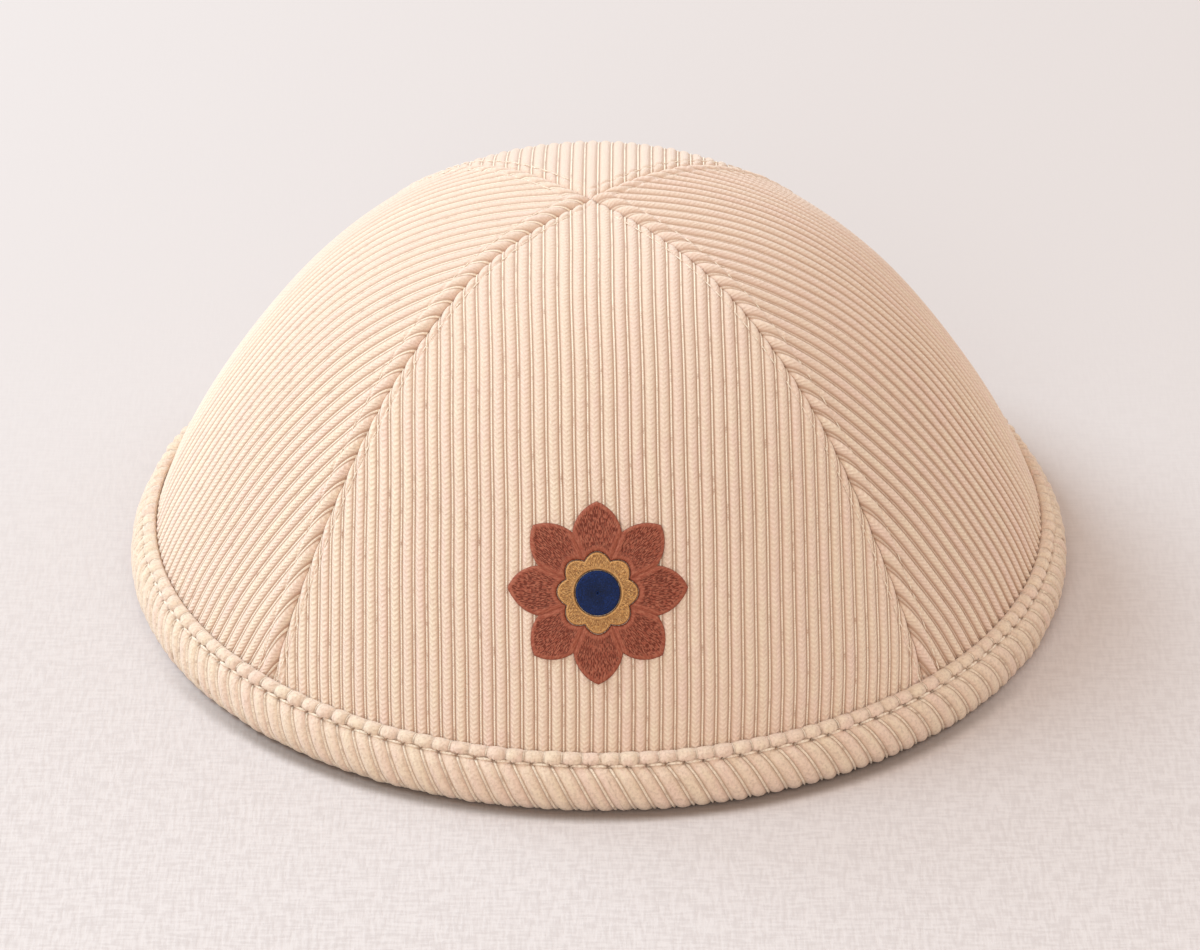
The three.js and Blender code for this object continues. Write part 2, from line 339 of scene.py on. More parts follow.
# how the face of the corduroy turns from wale to groove, in shares of the pitch
faceLook = {
    "waleFade": (-0.1, 0.02),
    "sideFade": (-0.24, 0.02),
    "cordFade": (0.0, 0.03),
    "slant": -2.2,            # how steeply the V of the knit runs
}


# wales, cords and the V of the knit, from a place in the cloth
def makeCorduroyGroup():
    tree = bpy.data.node_groups.new("corduroy face", "ShaderNodeTree")
    tree.interface.new_socket(name="Place", in_out="INPUT", socket_type="NodeSocketVector")
    for label in ("Knit", "Edge", "Cord edge"):
        tree.interface.new_socket(name=label, in_out="INPUT", socket_type="NodeSocketFloat")
    for label in ("Wale", "Side", "Cord", "Stitch", "Bead", "Number"):
        tree.interface.new_socket(name=label, in_out="OUTPUT", socket_type="NodeSocketFloat")
    given = tree.nodes.new("NodeGroupInput")
    out = tree.nodes.new("NodeGroupOutput")
    across, up = splitPlace(tree, given.outputs["Place"])
    shifted = calc(tree, "ADD", across, 0.5)
    away = calc(tree, "ABSOLUTE", calc(tree, "SUBTRACT", calc(tree, "FRACT", shifted), 0.5))
    pastEdge = calc(tree, "SUBTRACT", away, given.outputs["Edge"])
    pastCord = calc(tree, "SUBTRACT", away, given.outputs["Cord edge"])
    wale = invert(tree, fade(tree, pastEdge, *faceLook["waleFade"]))
    side = fade(tree, pastEdge, *faceLook["sideFade"])
    cord = fade(tree, pastCord, *faceLook["cordFade"])
    along = times(tree, up, given.outputs["Knit"])
    stitch = beat(tree, calc(tree, "MULTIPLY_ADD", away, faceLook["slant"], along), 1)
    bead = beat(tree, along, 2)
    feed(tree, out.inputs["Wale"], wale)
    feed(tree, out.inputs["Side"], side)
    feed(tree, out.inputs["Cord"], cord)
    feed(tree, out.inputs["Stitch"], times(tree, stitch, wale))
    feed(tree, out.inputs["Bead"], times(tree, bead, cord))
    feed(tree, out.inputs["Number"], calc(tree, "FLOOR", shifted))
    return tree


corduroyGroup = makeCorduroyGroup()

# shared by the cloths: sizes of their noises, where each fades in, and its share
wear = {
    "waleShare": 0.16,
    "blotch": 260, "blotchShare": 0.35,
    "hues": (2.3, 0.3, 1), "huesShare": 0.55, "tintFade": (0.38, 0.72),
    "streak": (5.5, 0.5, 1), "streakFade": (0.42, 0.7), "streakShare": 0.45,
    "worn": (3.0, 1.2, 1), "wornFade": (0.2, 0.5),
    "fuzzDetail": 4, "fuzzRough": 0.65, "grainFade": (0.42, 0.68),
    "deepCordShade": -0.6,         # cords give way to painted shade where the grooves are deep
    "farKnit": 0.55,          # how much of the knit is lost far away
    "plainShare": 0.8,
    "beadHeight": 0.6,
    "bump": 1 * mm,
    "roughness": 0.92, "specular": 0.2,
    "sheen": 0.45, "sheenRoughness": 0.55, "sheenTint": (1.0, 0.95, 0.9, 1),
}
# painted shade: the side colour darkens the flanks of the wales and the gaps of the knit, the groove colour
# the grooves and the random grain, and the top colour the cloth towards the top
panelLook = {
    "waleYellow": (0.89, 0.705, 0.525, 1), "walePink": (0.89, 0.645, 0.525, 1),
    "waleDeep": (0.79, 0.56, 0.42, 1),
    "top": (0.74, 0.52, 0.41, 1), "topShare": 0.62,
    "side": (0.60, 0.38, 0.26, 1), "sideShadeShare": 0.38, "deepShadeShare": 0.1,
    "groove": (0.50, 0.30, 0.20, 1), "hole": (0.30, 0.14, 0.06, 1),
    "cord": (0.98, 0.81, 0.63, 1), "cordShare": 0.85, "beadShare": 0.35,
    "edge": 0.37, "cordEdge": 0.425,
    "knit": 2.8, "stitchShade": 0.38, "stitchHeight": 0.1,
    "grain": 0.2, "fuzz": 0.14, "fuzzScale": 2600,
    "smoothShare": 0.35,
}
bindingLook = dict(panelLook)
bindingLook.update({
    "waleYellow": (0.86, 0.665, 0.48, 1), "walePink": (0.86, 0.61, 0.48, 1),
    "sideShadeShare": 0.6, "groove": (0.46, 0.29, 0.19, 1), "beadShare": 0.2,
    "edge": 0.44, "cordEdge": 0.42,
    "knit": 3.2, "stitchShade": 0.06, "stitchHeight": 0.015,
    "grain": 0.38, "fuzz": 0.34, "fuzzScale": 1900,
    "smoothShare": 0.0,
})


def makeClothMaterial(name, look):
    material, tree, shader = startMaterial(name)
    place = addNode(tree, "ShaderNodeTexCoord")
    cloth, body = place.outputs["UV"], place.outputs["Object"]
    face = addNode(tree, "ShaderNodeGroup", node_tree=corduroyGroup)
    feed(tree, face.inputs["Place"], cloth)
    face.inputs["Knit"].default_value = look["knit"]
    face.inputs["Edge"].default_value = look["edge"]
    face.inputs["Cord edge"].default_value = look["cordEdge"]
    wale, side, cord = face.outputs["Wale"], face.outputs["Side"], face.outputs["Cord"]
    stitch, bead = face.outputs["Stitch"], face.outputs["Bead"]
    towardsTop = readMark(tree, "towardsTop")
    deep = readMark(tree, "deep")
    plain = readMark(tree, "plain")
    # each wale has a tint of its own, which drifts along it
    number = addNode(tree, "ShaderNodeTexWhiteNoise", noise_dimensions="1D")
    feed(tree, number.inputs["W"], face.outputs["Number"])
    blotch = times(tree, noise(tree, body, wear["blotch"], 2), wear["blotchShare"])
    hues = noise(tree, stretchPlace(tree, cloth, wear["hues"]), 1.0, 3)
    tint = calc(tree, "MULTIPLY_ADD", number.outputs["Value"], wear["waleShare"], blotch)
    tint = fade(tree, calc(tree, "MULTIPLY_ADD", hues, wear["huesShare"], tint), *wear["tintFade"])
    fresh = blendColour(tree, tint, look["waleYellow"], look["walePink"])
    # painted shade: the cloth is darker towards the top
    yarn = blendColour(tree, times(tree, towardsTop, look["topShare"]), fresh, look["top"])
    streak = fade(tree, noise(tree, stretchPlace(tree, cloth, wear["streak"]), 1.0, 2), *wear["streakFade"])
    streaked = blendColour(tree, times(tree, streak, wear["streakShare"]), yarn, look["waleDeep"])
    # painted shade on the flanks of the wales and in the grooves, more of it on the deepest panel, less
    # towards the top
    crisp = invert(tree, times(tree, towardsTop, look["smoothShare"]))
    sideShadeShare = calc(tree, "MULTIPLY_ADD", deep, look["deepShadeShare"], look["sideShadeShare"])
    shade = times(tree, times(tree, side, sideShadeShare), crisp)
    rounded = blendColour(tree, shade, streaked, look["side"])
    ground = blendColour(tree, times(tree, invert(tree, wale), crisp), rounded, look["groove"])
    # the cord is worn away here and there
    worn = fade(tree, noise(tree, stretchPlace(tree, cloth, wear["worn"]), 1.0, 2), *wear["wornFade"])
    beads = calc(tree, "MULTIPLY_ADD", bead, look["beadShare"], worn)
    # on the deepest panel the cords give way to painted shade
    cordShare = calc(tree, "MULTIPLY_ADD", deep, wear["deepCordShade"] * look["cordShare"], look["cordShare"])
    corded = blendColour(tree, times(tree, times(tree, cord, beads), cordShare), ground, look["cord"])
    # painted shade in the gaps of the knit, then the nap
    knitCrisp = invert(tree, times(tree, readMark(tree, "far"), wear["farKnit"]))
    gaps = times(tree, calc(tree, "SUBTRACT", wale, stitch), look["stitchShade"])
    knitted = blendColour(tree, times(tree, gaps, knitCrisp), corded, look["side"])
    fuzz = noise(tree, body, look["fuzzScale"], wear["fuzzDetail"], wear["fuzzRough"])
    grain = times(tree, fade(tree, fuzz, *wear["grainFade"]), look["grain"])
    napped = blendColour(tree, grain, knitted, look["groove"])
    pale = blendColour(tree, times(tree, plain, wear["plainShare"]), napped, look["waleYellow"])
    # painted shade darkens the stitch holes
    feed(tree, shader.inputs["Base Color"], blendColour(tree, readMark(tree, "hole"), pale, look["hole"]))
    knots = calc(tree, "ADD", stitch, times(tree, bead, wear["beadHeight"]))
    relief = times(tree, knots, look["stitchHeight"])
    knit = times(tree, relief, times(tree, knitCrisp, invert(tree, plain)))
    addBump(tree, shader, wear["bump"], calc(tree, "MULTIPLY_ADD", fuzz, look["fuzz"], knit))
    shader.inputs["Roughness"].default_value = wear["roughness"]
    shader.inputs["Specular IOR Level"].default_value = wear["specular"]
    shader.inputs["Sheen Weight"].default_value = wear["sheen"]
    shader.inputs["Sheen Roughness"].default_value = wear["sheenRoughness"]
    shader.inputs["Sheen Tint"].default_value = wear["sheenTint"]
    return material


panelMaterial = makeClothMaterial("corduroy", panelLook)
bindingMaterial = makeClothMaterial("bias corduroy", bindingLook)

# the four panels
panel = {
    "rimRows": 8, "rimZone": 4 * mm, "rimShare": 0.25,
    "bodyRows": 48,
    "seamRows": 28, "seamZone": 6 * mm, "seamShare": 0.5, "seamCrowding": 1.4,
    "liningRows": 8,
    "margin": 0.1 * mm,       # between the last wale line and the corner
    "wander": 0.16 * mm, "wanderReach": 30 * mm, "wanderStretch": 0.6, "wanderFree": 12 * mm,
    "uneven": 0.16,           # how much the wales differ in height
    "waleNumbers": 200,
    "swell": 0.35 * mm,       # soft unevenness of the whole crown
    "swellReach": 42 * mm, "swellFrom": 2 * mm, "swellTo": 14 * mm,
    "creaseWidth": 0.34 * mm, "creaseCut": 0.3,
    "rollMiddle": 2.0 * mm, "rollWidth": 1.5 * mm,
}
# how each kind of panel edge rolls into its seam
lowEdge = {
    "drop": 0.95 * mm, "width": 1.7 * mm, "swell": 0.05 * mm,
    "crease": 2.1 * mm, "creaseDepth": 0.14 * mm,
}
proudEdge = {
    "drop": 1.25 * mm, "width": 1.3 * mm, "swell": 0.34 * mm,
    "crease": 2.9 * mm, "creaseDepth": 0.15 * mm,
}
# height of the wales, share of it in the cords, and painted shade in the grooves
shallow = {"relief": 0.85, "cord": 0.62, "deep": 0.0}
middling = {"relief": 0.72, "cord": 0.4, "deep": 0.0}
deepest = {"relief": 1.2, "cord": 0.32, "deep": 1.0}
# where painted shade darkens the cloth and its grooves turn softer towards the top, and its knit faint
# towards the back
paling = {
    "backShare": 0.3, "smoothFrom": 26 * mm, "smoothTo": 72 * mm,
    "farFrom": -35 * mm, "farTo": 20 * mm,
}

# the rosette, which also flattens the wales under it
rosette = {
    "rise": 30 * mm,          # centre above the panels' lower edge, along the cloth
    "petals": 8,
    "tip": 15.5 * mm,
    "root": 3 * mm,
    "width": 8.6 * mm,
    "ring": 6.9 * mm,
    "scallop": 1.2 * mm,
    "disc": 3.8 * mm,
    "eye": 0.02 * mm,
    "gap": 0.12 * mm,
    "flatten": 0.9, "flattenFrom": -0.1 * mm, "flattenTo": 0.8 * mm,
}


# angle between a direction and the middle of its petal
def offPetal(angle):
    step = 2 * math.pi / rosette["petals"]
    return np.abs(angle - step * np.round(angle / step))


# each petal lies between two arcs that meet at its tip
def petalReach(angle):
    off = offPetal(angle)
    length = rosette["tip"] - rosette["root"]
    arc = (length ** 2 / rosette["width"] + rosette["width"]) / 4
    middle = (rosette["tip"] + rosette["root"]) / 2
    sink = arc - rosette["width"] / 2
    along = middle * np.cos(off) - sink * np.sin(off)
    return along + np.sqrt(np.maximum(along ** 2 - (middle ** 2 + sink ** 2 - arc ** 2), 0))


def ringReach(angle):
    return rosette["ring"] - rosette["scallop"] * (1 - np.abs(np.cos(angle * rosette["petals"] / 2)))


# rows up the cloth, closer together at the rim and at the seam
def panelRows(top):
    rimZone = np.minimum(panel["rimZone"], top * panel["rimShare"])
    seamZone = np.minimum(panel["seamZone"], top * panel["seamShare"])
    rim = np.linspace(0, 1, panel["rimRows"], endpoint=False)[:, None] * rimZone
    bodyShare = np.linspace(0, 1, panel["bodyRows"], endpoint=False)[:, None]
    body = rimZone + bodyShare * (top - rimZone - seamZone)
    seamShare = np.linspace(1, 0, panel["seamRows"] + 1)[:, None] ** panel["seamCrowding"]
    return np.concatenate([rim, body, top - seamShare * seamZone])


def panelSwell(beside, up, seed):
    uneven = panel["swell"] * ripple(beside, up, seed + 7, panel["swellReach"])
    return uneven * softStep(up, panel["swellFrom"], panel["swellTo"])


def panelLift(beside, up, edge, kind, seed, bedded):
    random = np.random.RandomState(seed)
    phase = beside / corduroy["pitch"]
    number = np.round(phase).astype(int) + panel["waleNumbers"] // 2
    strength = 1 + panel["uneven"] * (random.rand(panel["waleNumbers"])[number] - 0.5)
    relief = waleRelief(phase, kind["cord"]) * corduroy["height"] * kind["relief"] * strength
    apart = crownAt(up)[0] * np.sin(math.pi / 4 - np.abs(waleAngle(beside, up)))
    if bedded:
        above = up - rosette["rise"]
        inside = petalReach(np.arctan2(above, beside)) - np.hypot(beside, above)
        flat = softStep(inside, rosette["flattenFrom"], rosette["flattenTo"])
        relief = relief * (1 - rosette["flatten"] * flat)
    creased = bell(apart, edge["crease"], panel["creaseWidth"])
    relief = relief * (1 - panel["creaseCut"] * creased)
    lift = corduroy["ground"] + relief - edge["creaseDepth"] * creased
    lift += edge["swell"] * bell(apart, panel["rollMiddle"], panel["rollWidth"])
    rolled = np.clip(1 - apart / edge["width"], 0, 1)
    lift -= edge["drop"] * (1 - np.sqrt(np.maximum(1 - rolled ** 2, 0)))
    lift -= crown["pinch"] * bell(np.maximum(up, 0), 0, crown["pinchReach"])
    return lift + panelSwell(beside, up, seed)


# lines up the cloth: the middle of each wale, and its steps to both sides
def panelLines(foot):
    reach = math.ceil(foot / corduroy["pitch"])
    wales = np.arange(-reach, reach + 1)[:, None]
    steps = np.array(corduroy["steps"])
    phases = np.unique(np.concatenate([wales, wales + steps, wales - steps], axis=1))
    beside = phases * corduroy["pitch"]
    beside = beside[np.abs(beside) < foot - panel["margin"]]
    return np.concatenate([[-foot], beside, [foot]])


def makePanel(name, quarter, edge, kind, seed):
    beside = panelLines(seamFoot())
    top = waleTop(beside)
    outerUp = panelRows(top)
    besides = np.broadcast_to(beside, outerUp.shape)
    outer = panelLift(besides, outerUp, edge, kind, seed, quarter == 0)
    # the wales wander a little between the seam and the rim
    free = softStep(outerUp, 0, panel["wanderFree"]) * softStep(top - outerUp, 0, panel["wanderFree"])
    stray = ripple(besides * panel["wanderStretch"], outerUp, seed + 3, panel["wanderReach"])
    wander = panel["wander"] * stray * free
    # the inner face of the cloth
    liningUp = np.linspace(1, 0, panel["liningRows"] + 1)[:, None] * top
    lining = corduroy["ground"] - corduroy["cloth"] - crown["pinch"] * bell(liningUp, 0, crown["pinchReach"])
    lining = lining + panelSwell(np.broadcast_to(beside, liningUp.shape), liningUp, seed)
    wall = (outer[-1:] + lining[:1]) / 2
    up = np.concatenate([outerUp, outerUp[-1:], liningUp, outerUp[:1]])
    lift = np.concatenate([outer, wall, lining, outer[:1]])
    hidden = len(up) - len(outerUp)
    shift = np.concatenate([wander, np.zeros((hidden, len(beside)))])
    limit = seamAngle(up)
    angle = np.clip(waleAngle(beside + shift, up), -limit, limit)
    points = crownPoint(angle + quarter * math.pi / 2, up, lift)
    places = np.stack([np.broadcast_to(beside, up.shape), up], -1) / corduroy["pitch"]
    deep, high = points[:, :, 1], points[:, :, 2]
    plain = np.concatenate([np.zeros(len(outerUp)), np.ones(hidden - 1), [0]])[:, None]
    towardsTop = softStep(high + paling["backShare"] * deep, paling["smoothFrom"], paling["smoothTo"])
    far = np.maximum(towardsTop, softStep(deep, paling["farFrom"], paling["farTo"]))
    marks = {"plain": plain, "towardsTop": towardsTop, "far": far, "deep": kind["deep"]}
    piece = bendGrid(name, points, places, marks)
    finishPiece(piece, name, panelMaterial)
    print("panel", name, len(piece.data.polygons), "faces")


makePanel("panel_front", 0, lowEdge, shallow, 11)
makePanel("panel_right", 1, proudEdge, deepest, 12)
makePanel("panel_back", 2, lowEdge, shallow, 13)
makePanel("panel_left", 3, proudEdge, middling, 14)

# sewing thread
cottonLook = {
    "colour": (0.90, 0.76, 0.60, 1), "deep": (0.72, 0.54, 0.40, 1),
    "twist": 2600, "twistFade": (0.4, 0.65),
    "roughness": 0.7, "sheen": 0.3,
}
strand = {"segments": 7, "rings": 6, "spacing": 4}


def makeCottonMaterial(name, look):
    material, tree, shader = startMaterial(name)
    body = addNode(tree, "ShaderNodeTexCoord").outputs["Object"]
    twist = fade(tree, noise(tree, body, look["twist"], 2), *look["twistFade"])
    feed(tree, shader.inputs["Base Color"], blendColour(tree, twist, look["colour"], look["deep"]))
    shader.inputs["Roughness"].default_value = look["roughness"]
    shader.inputs["Sheen Weight"].default_value = look["sheen"]
    return material


cottonMaterial = makeCottonMaterial("sewing thread", cottonLook)


def unit(vectors):
    return vectors / np.linalg.norm(vectors, axis=1)[:, None]


# many small stitches in one piece, each from one point to another
def makeThreads(name, starts, ends, stitch):
    clearSelection()
    bpy.ops.mesh.primitive_uv_sphere_add(segments=strand["segments"], ring_count=strand["rings"], radius=1)
    piece = bpy.context.object
    piece.name = name
    copies = piece.modifiers.new("copies", "ARRAY")
    copies.count = len(starts)
    copies.use_relative_offset = False
    copies.use_constant_offset = True
    copies.constant_offset_displace = (strand["spacing"], 0, 0)
    bpy.ops.object.modifier_apply(modifier="copies")
    local = readPoints(piece).astype(float)
    which = np.round(local[:, 0] / strand["spacing"]).astype(int)
    local[:, 0] -= strand["spacing"] * which
    x, y, z = local[:, 0:1], local[:, 1:2], local[:, 2:3]
    along = ends - starts
    middle = (starts + ends) / 2
    side = unit(np.cross(along, starts + ends))
    out = unit(np.cross(side, along))
    bow = unit(middle[which] * (1, 1, 0)) * stitch["bulge"] + np.array([0, 0, stitch["rise"]])
    points = middle[which] + z * along[which] / 2
    points += (1 - z ** 2) * bow
    points += stitch["radius"] * (x * side[which] + y * out[which])
    writePoints(piece, points)
    pickPiece(piece)
    bpy.ops.object.mode_set(mode="EDIT")
    bpy.ops.mesh.select_all(action="SELECT")
    bpy.ops.mesh.normals_make_consistent(inside=False)
    bpy.ops.object.mode_set(mode="OBJECT")
    finishPiece(piece, None, cottonMaterial)
    print("threads", name, len(starts))


# the rolled binding
binding = {
    "bellyRadius": cadBox[1][0],
    "ribs": 158,
    "ribHeight": 0.8 * mm, "ribHalf": 0.45, "ribRound": 2.2, "ribTop": 0.75, "ribUneven": 0.14,
    "cordHalf": 0.09, "cordRound": 1.3, "cordShare": 0.85,
    "lumpHeight": 0.85 * mm, "lumpTop": 0.6, "lumpLeast": 0.7, "lumpUneven": 0.6,
    "lumpShift": 0.12,        # the lumps of the lip sit a little to the right of the holes
    "lumpPlaces": 0.7,
    "lipBelow": 0.2 * mm, "lipAbove": 0.5 * mm,
    "leanTop": 0.6,           # sideways travel of a rib for each step down, at the stitches
    "leanFoot": 0.36,
    "steps": (0.12, 0.22, 0.31, 0.39, 0.44, 0.475),
    "outerRows": 36, "innerRows": 8, "footRows": 8, "curveSteps": 24,
    "crowding": 1.6, "crowdingReach": 0.9 * mm,    # rows stand closer at the stitches
    "lipGap": 0.6 * mm, "footGap": 0.8 * mm,
    "groove": 8.1 * mm,       # height of the stitches
    "holeDepth": 0.5 * mm, "holeTall": 0.36 * mm, "holeWide": 0.085, "holeShade": 0.4,
    "folds": 7, "foldHeight": 0.13 * mm, "foldPitch": 3.4 * mm, "foldFar": 0.8 * mm, "foldWidth": 0.5 * mm,
    "waveHeight": 0.12 * mm, "waveRadius": 0.085, "waveReach": 9 * mm,
    "sag": 0.6 * mm,          # the foot of the roll bulges most at one side of the front
    "sagTurn": math.radians(22),
}
# its section in mm, outer side first, from the table up to the top of the lip,
# with the share of the ribs' height that stands there
bindingOuter = (
    {"radius": 81.6, "height": 0.0, "rib": 0.1},
    {"radius": 82.9, "height": 0.08, "rib": 0.4},
    {"radius": 84.1, "height": 0.45, "rib": 0.9},
    {"radius": 84.95, "height": 1.35, "rib": 1.0},
    {"radius": 85.3, "height": 3.0, "rib": 1.0},
    {"radius": 85.05, "height": 5.1, "rib": 1.0},
    {"radius": 84.4, "height": 6.8, "rib": 0.95},
    {"radius": 83.4, "height": 7.8, "rib": 0.7},
    {"radius": 82.4, "height": 8.1, "rib": 0.2},
    {"radius": 82.9, "height": 8.5, "rib": 0.7},
    {"radius": 83.1, "height": 9.05, "rib": 1.0},
    {"radius": 82.75, "height": 9.7, "rib": 1.0},
    {"radius": 81.95, "height": 10.05, "rib": 0.8},
    {"radius": 80.9, "height": 9.85, "rib": 0.3},
)
# hidden side: inside of the lip, channel for the cloth, inner turning, back to the table
bindingInner = (
    {"radius": 80.5, "height": 9.4, "rib": 0.0},
    {"radius": 81.6, "height": 6.5, "rib": 0.0},
    {"radius": 79.5, "height": 5.6, "rib": 0.0},
    {"radius": 78.6, "height": 8.6, "rib": 0.0},
    {"radius": 78.1, "height": 9.0, "rib": 0.0},
    {"radius": 77.8, "height": 8.4, "rib": 0.1},
    {"radius": 78.3, "height": 4.5, "rib": 0.3},
    {"radius": 79.3, "height": 1.6, "rib": 0.3},
    {"radius": 80.5, "height": 0.2, "rib": 0.2},
)


# smooth curve through the rows of a section, its points closer together near one height
def curveThrough(rows, count, focus=None):
    points = np.array([[row["radius"], row["height"], row["rib"]] for row in rows])
    padded = np.concatenate([2 * points[:1] - points[1:2], points, 2 * points[-1:] - points[-2:-1]])
    dense = []
    for i in range(len(points) - 1):
        a, b, c, d = padded[i:i + 4]
        for share in np.linspace(0, 1, binding["curveSteps"], endpoint=False):
            dense.append(0.5 * ((2 * b) + (c - a) * share + (2 * a - 5 * b + 4 * c - d) * share ** 2
                                + (3 * b - a - 3 * c + d) * share ** 3))
    dense.append(points[-1])
    dense = np.array(dense)
    dense[:, :2] *= mm
    steps = np.hypot(*np.diff(dense[:, :2], axis=0).T)
    travelled = np.concatenate([[0], np.cumsum(steps)])
    weight = np.ones(len(steps))
    if focus:
        weight += binding["crowding"] * bell(dense[1:, 1], focus, binding["crowdingReach"])
    spread = np.concatenate([[0], np.cumsum(steps * weight)])
    at = np.interp(np.linspace(0, spread[-1], count), spread, travelled)
    return np.stack([np.interp(at, travelled, dense[:, i]) for i in range(3)], -1), at


# the whole section, the distance travelled along it, and the row of the stitches
def rollSection():
    outer, outerAt = curveThrough(bindingOuter, binding["outerRows"], binding["groove"])
    inner, innerAt = curveThrough(bindingInner, binding["innerRows"])
    section = np.concatenate([outer, inner, outer[:1]])
    travelled = np.concatenate([outerAt, outerAt[-1] + binding["lipGap"] + innerAt])
    travelled = np.append(travelled, travelled[-1] + binding["footGap"])
    number = np.arange(len(section))
    outside = number < binding["outerRows"]
    upper = outside & (number > binding["footRows"])
    grooveRow = int(np.argmin(np.where(upper, np.abs(section[:, 1] - binding["groove"]), 1)))
    return section, travelled, outside, grooveRow


def sectionNormals(section):
    ahead = np.roll(section[:-1, :2], -1, axis=0) - np.roll(section[:-1, :2], 1, axis=0)
    ahead = np.concatenate([ahead, ahead[:1]])
    return unit(np.stack([ahead[:, 1], -ahead[:, 0]], -1))


def makeBinding():
    section, travelled, outside, grooveRow = rollSection()
    groove = travelled[grooveRow]
    steps = np.array(binding["steps"])
    phaseSteps = np.concatenate([[0], steps, [0.5], 1 - steps[::-1]])
    phase = np.append((np.arange(binding["ribs"])[:, None] + phaseSteps).ravel(), binding["ribs"])
    at, phases = np.meshgrid(np.arange(len(section)), phase, indexing="ij")
    # the ribs lean over the roll, and go straight up from the stitches
    down = np.clip((groove - travelled) / groove, 0, 1)
    easing = (binding["leanTop"] - binding["leanFoot"]) * down ** 2 / 2
    turn = groove * (binding["leanTop"] * down - easing) / binding["bellyRadius"]
    turn[~outside] = turn[grooveRow]
    turn[-1] = turn[0]
    angle = 2 * math.pi * phases / binding["ribs"] + turn[at]
    down, outside, travelled = down[at], outside[at], travelled[at]
    # ribs on the roll, with a cord between them
    random = np.random.RandomState(5)
    rib = np.round(phases)
    away = np.abs(phases - rib)
    ribSize = random.rand(binding["ribs"])[rib.astype(int) % binding["ribs"]] - 0.5
    ribs = np.maximum(1 - (away / binding["ribHalf"]) ** binding["ribRound"], 0) ** binding["ribTop"]
    cords = roundBump(0.5 - away, binding["cordHalf"], binding["cordRound"]) * binding["cordShare"]
    onRoll = (np.maximum(ribs, cords) * (1 + binding["ribUneven"] * ribSize) - 1) * binding["ribHeight"]
    # lumps on the lip, not all alike
    lumpPhase = phases - 0.5 - binding["lumpShift"]
    lump = np.round(lumpPhase)
    lumpSize = random.rand(binding["ribs"])[lump.astype(int) % binding["ribs"]]
    lumps = np.maximum(1 - (np.abs(lumpPhase - lump) / 0.5) ** 2, 0) ** binding["lumpTop"]
    lumps = lumps * (binding["lumpLeast"] + binding["lumpUneven"] * lumpSize)
    onLumps = (lumps - 1) * binding["lumpHeight"]
    onLip = softStep(travelled, groove - binding["lipBelow"], groove + binding["lipAbove"]) * outside
    lift = (onRoll * (1 - onLip) + onLumps * onLip) * section[at, 2]
    # each stitch pulls a small hole between two ribs, and short folds run out from it
    hole = bell(travelled, groove, binding["holeTall"]) * bell(0.5 - away, 0, binding["holeWide"]) * outside
    lift -= binding["holeDepth"] * hole
    sideStep = (0.5 - away) * np.sign(phases - rib) * binding["foldPitch"]
    upStep = travelled - groove
    foldShare = bell(np.hypot(upStep, sideStep), binding["foldFar"], binding["foldWidth"]) * outside
    lift += binding["foldHeight"] * np.cos(binding["folds"] * np.arctan2(upStep, sideStep)) * foldShare
    uneven = ripple(angle * binding["waveRadius"], travelled, 21, binding["waveReach"])
    lift += binding["waveHeight"] * uneven * outside
    lift += binding["sag"] * np.maximum(np.cos(angle - binding["sagTurn"]), 0) * down * outside
    normal = sectionNormals(section)
    radius = section[at, 0] + normal[at, 0] * lift
    height = np.maximum(section[at, 1] + normal[at, 1] * lift, 0)
    points = np.stack([radius * np.sin(angle), -radius * np.cos(angle), height], -1)
    # no cord shows on the lip, so its places stay clear of one
    lipPlaces = lump + binding["lumpPlaces"] * (lumpPhase - lump)
    ribPitch = 2 * math.pi * binding["bellyRadius"] / binding["ribs"]
    across = phases * (1 - onLip) + lipPlaces * onLip
    places = np.stack([across, travelled * math.sqrt(2) / ribPitch], -1)
    # the holes also carry painted shade in their colour
    piece = bendGrid("edge_binding", points, places, {"hole": hole * binding["holeShade"]})
    finishPiece(piece, "edge_binding", bindingMaterial)
    print("binding", len(piece.data.polygons), "faces")


makeBinding()

# one stitch over each rib, from hole to hole
rimStitch = {"clear": 0.06, "radius": 0.26 * mm, "drop": 0.1 * mm, "bulge": 0.34 * mm, "rise": 0.26 * mm}


def makeRimStitches():
    section, _, _, grooveRow = rollSection()
    radius, height = section[grooveRow, 0], section[grooveRow, 1] - rimStitch["drop"]
    ends = []
    for side in (-1, 1):
        phase = np.arange(binding["ribs"]) + side * (0.5 - rimStitch["clear"])
        turn = phase * 2 * math.pi / binding["ribs"]
        ends.append(np.stack([radius * np.sin(turn), -radius * np.cos(turn), np.full_like(turn, height)], -1))
    makeThreads("rim_stitches", ends[0], ends[1], rimStitch)


makeRimStitches()

# lines of stitches beside each seam, on both panels
seamStitch = {
    "first": 3 * mm, "clear": 7 * mm, "step": 2.5 * mm, "length": 1.9 * mm,
    "radius": 0.11 * mm, "lift": -0.16 * mm, "widest": 0.7, "bulge": 0.0, "rise": 0.0,
}


def seamPoint(quarter, side, up):
    apart = (lowEdge if quarter % 2 == 0 else proudEdge)["crease"]
    inward = np.arcsin(np.minimum(apart / crownAt(up)[0], seamStitch["widest"]))
    angle = quarter * math.pi / 2 + side * (math.pi / 4 - inward)
    return crownPoint(angle, up, seamStitch["lift"])


def makeSeamStitches():
    starts, ends = [], []
    length = profileUp[-1] - seamStitch["first"] - seamStitch["clear"]
    up = seamStitch["first"] + np.arange(int(length / seamStitch["step"])) * seamStitch["step"]
    for quarter in range(4):
        # seam on the right of this panel, then the one on its left
        for side in (1, -1):
            starts.append(seamPoint(quarter, side, up))
            ends.append(seamPoint(quarter, side, up + seamStitch["length"]))
    makeThreads("seam_stitches", np.concatenate(starts), np.concatenate(ends), seamStitch)


makeSeamStitches()

